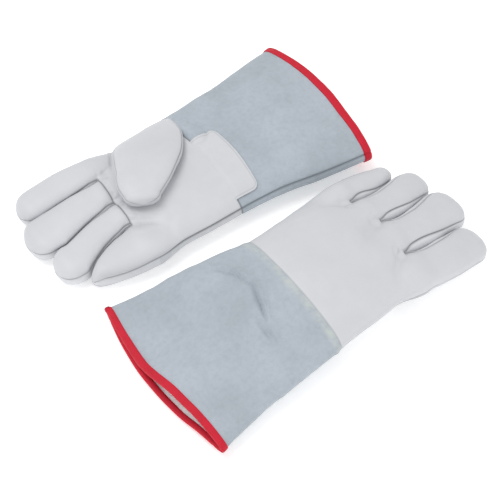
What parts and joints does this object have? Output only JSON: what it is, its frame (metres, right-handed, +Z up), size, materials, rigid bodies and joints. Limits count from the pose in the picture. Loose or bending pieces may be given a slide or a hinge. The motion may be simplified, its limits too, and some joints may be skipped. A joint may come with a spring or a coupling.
{
  "type": "pair of cryogenic gauntlet gloves",
  "caption": "Pair of leather gauntlet gloves for cryogenic liquids: padded grain leather hands, flared suede cuffs and bound mouths, with fingers, thumbs and wrists that flex.",
  "frame": {"origin": "on the table, under the middle of the pair's bounding box", "axes": "+Z up; +X along the gloves, towards the left glove's fingertips; +Y from the left glove to the right one"},
  "size_m": [0.4016, 0.4113, 0.0603],
  "materials": {
    "grain_leather": "fine grain, satin, cool off-white",
    "gusset_leather": "fine grain, satin, a little greyer",
    "heel_leather": "fine grain, satin, slightly warm off-white",
    "suede": "split suede, matt, mottled blue-grey",
    "binding_tape": "woven tape, matt red",
    "wadding": "brushed fleece over quilted wadding, white"
  },
  "bodies": {
    "right_cuff": {"right_cuff_back_suede": "suede", "right_cuff_palm_suede": "suede", "right_cuff_liner": "wadding", "right_cuff_binding": "binding_tape", "right_palm_heel_flap": "heel_leather"},
    "right_hand": {"right_hand_back_leather": "grain_leather", "right_palm_leather": "grain_leather", "right_hand_liner": "wadding"},
    "right_thumb": {"right_thumb_outer_leather": "grain_leather", "right_thumb_inner_leather": "grain_leather", "right_thumb_liner": "wadding"},
    "right_index": {"right_index_back_leather": "grain_leather", "right_index_front_leather": "grain_leather", "right_index_gusset": "gusset_leather", "right_index_liner": "wadding"},
    "right_middle": {"right_middle_back_leather": "grain_leather", "right_middle_front_leather": "grain_leather", "right_middle_gusset": "gusset_leather", "right_middle_liner": "wadding"},
    "right_ring": {"right_ring_back_leather": "grain_leather", "right_ring_front_leather": "grain_leather", "right_ring_gusset": "gusset_leather", "right_ring_liner": "wadding"},
    "right_little": {"right_little_back_leather": "grain_leather", "right_little_front_leather": "grain_leather", "right_little_gusset": "gusset_leather", "right_little_liner": "wadding"},
    "left_cuff": {"left_cuff_back_suede": "suede", "left_cuff_palm_suede": "suede", "left_cuff_liner": "wadding", "left_cuff_binding": "binding_tape", "left_palm_heel_flap": "heel_leather"},
    "left_hand": {"left_hand_back_leather": "grain_leather", "left_palm_leather": "grain_leather", "left_hand_liner": "wadding"},
    "left_thumb": {"left_thumb_outer_leather": "grain_leather", "left_thumb_inner_leather": "grain_leather", "left_thumb_liner": "wadding"},
    "left_index": {"left_index_back_leather": "grain_leather", "left_index_front_leather": "grain_leather", "left_index_gusset": "gusset_leather", "left_index_liner": "wadding"},
    "left_middle": {"left_middle_back_leather": "grain_leather", "left_middle_front_leather": "grain_leather", "left_middle_gusset": "gusset_leather", "left_middle_liner": "wadding"},
    "left_ring": {"left_ring_back_leather": "grain_leather", "left_ring_front_leather": "grain_leather", "left_ring_gusset": "gusset_leather", "left_ring_liner": "wadding"},
    "left_little": {"left_little_back_leather": "grain_leather", "left_little_front_leather": "grain_leather", "left_little_gusset": "gusset_leather", "left_little_liner": "wadding"}
  },
  "joints": [
    {"name": "left_glove_lift", "type": "slide", "parent": "right_cuff", "child": "left_cuff", "axis": [0, 0, 1], "range_m": [0, 0.12]},
    {"name": "left_wrist_flex", "type": "hinge", "parent": "left_cuff", "child": "left_hand", "pos_m": [-0.01146, -0.09789, 0.0142], "axis": [-0.0279, 0.9996, 0], "range_deg": [0, 45]},
    {"name": "left_index_flex", "type": "hinge", "parent": "left_hand", "child": "left_index", "pos_m": [0.10217, -0.14774, 0.0132], "axis": [-0.0279, 0.9996, 0], "range_deg": [0, 75]},
    {"name": "left_middle_flex", "type": "hinge", "parent": "left_hand", "child": "left_middle", "pos_m": [0.10103, -0.10675, 0.0132], "axis": [-0.0279, 0.9996, 0], "range_deg": [0, 75]},
    {"name": "left_ring_flex", "type": "hinge", "parent": "left_hand", "child": "left_ring", "pos_m": [0.09994, -0.06777, 0.0132], "axis": [-0.0279, 0.9996, 0], "range_deg": [0, 75]},
    {"name": "left_little_flex", "type": "hinge", "parent": "left_hand", "child": "left_little", "pos_m": [0.09888, -0.02978, 0.0132], "axis": [-0.0279, 0.9996, 0], "range_deg": [0, 75]},
    {"name": "left_thumb_swing", "type": "hinge", "parent": "left_hand", "child": "left_thumb", "pos_m": [0.03252, -0.16819, 0.0142], "axis": [-0.9996, -0.0279, 0], "range_deg": [0, 120]},
    {"name": "right_wrist_flex", "type": "hinge", "parent": "right_cuff", "child": "right_hand", "pos_m": [0.01146, 0.10671, 0.0392], "axis": [0.0279, 0.9996, 0], "range_deg": [0, 45]},
    {"name": "right_index_flex", "type": "hinge", "parent": "right_hand", "child": "right_index", "pos_m": [-0.09921, 0.16282, 0.0352], "axis": [0.0279, 0.9996, 0], "range_deg": [0, 75]},
    {"name": "right_middle_flex", "type": "hinge", "parent": "right_hand", "child": "right_middle", "pos_m": [-0.10036, 0.12184, 0.0352], "axis": [0.0279, 0.9996, 0], "range_deg": [0, 75]},
    {"name": "right_ring_flex", "type": "hinge", "parent": "right_hand", "child": "right_ring", "pos_m": [-0.10145, 0.08285, 0.0352], "axis": [0.0279, 0.9996, 0], "range_deg": [0, 75]},
    {"name": "right_little_flex", "type": "hinge", "parent": "right_hand", "child": "right_little", "pos_m": [-0.10251, 0.04487, 0.0352], "axis": [0.0279, 0.9996, 0], "range_deg": [0, 75]},
    {"name": "right_thumb_swing", "type": "hinge", "parent": "right_hand", "child": "right_thumb", "pos_m": [-0.02853, 0.17936, 0.0392], "axis": [-0.9996, 0.0279, 0], "range_deg": [0, 120]}
  ]
}
